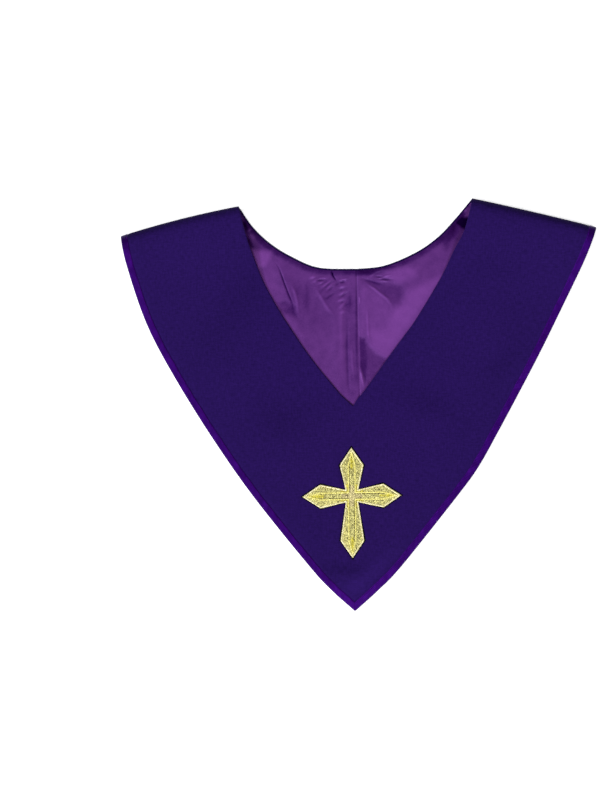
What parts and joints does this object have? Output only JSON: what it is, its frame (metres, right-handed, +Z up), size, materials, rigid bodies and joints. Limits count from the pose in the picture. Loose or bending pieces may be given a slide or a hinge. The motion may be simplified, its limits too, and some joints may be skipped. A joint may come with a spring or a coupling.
{
  "type": "server's scapular collar, laid flat",
  "caption": "V-shaped lined collar of twill lying flat, folded at both shoulders, with satin binding round the outer edge and a stitched cross on the front.",
  "frame": {"origin": "centre of the bounding box in plan, at the underside that rests on the surface", "axes": "+Z up from the surface, +Y from the front's point to the shoulders, +X to the right seen from above"},
  "size_m": [0.499, 0.434, 0.013],
  "materials": {
    "shell_twill": "matt polyester twill, dark violet",
    "lining_satin": "soft satin, mid purple",
    "binding_satin": "satin bias strip, bright violet",
    "gold_thread": "machine embroidery in metallic gold thread"
  },
  "bodies": {
    "root": {"shell": "shell_twill", "lining_left": "lining_satin", "lining_right": "lining_satin", "edge_binding": "binding_satin", "cross": "gold_thread"}
  },
  "joints": []
}
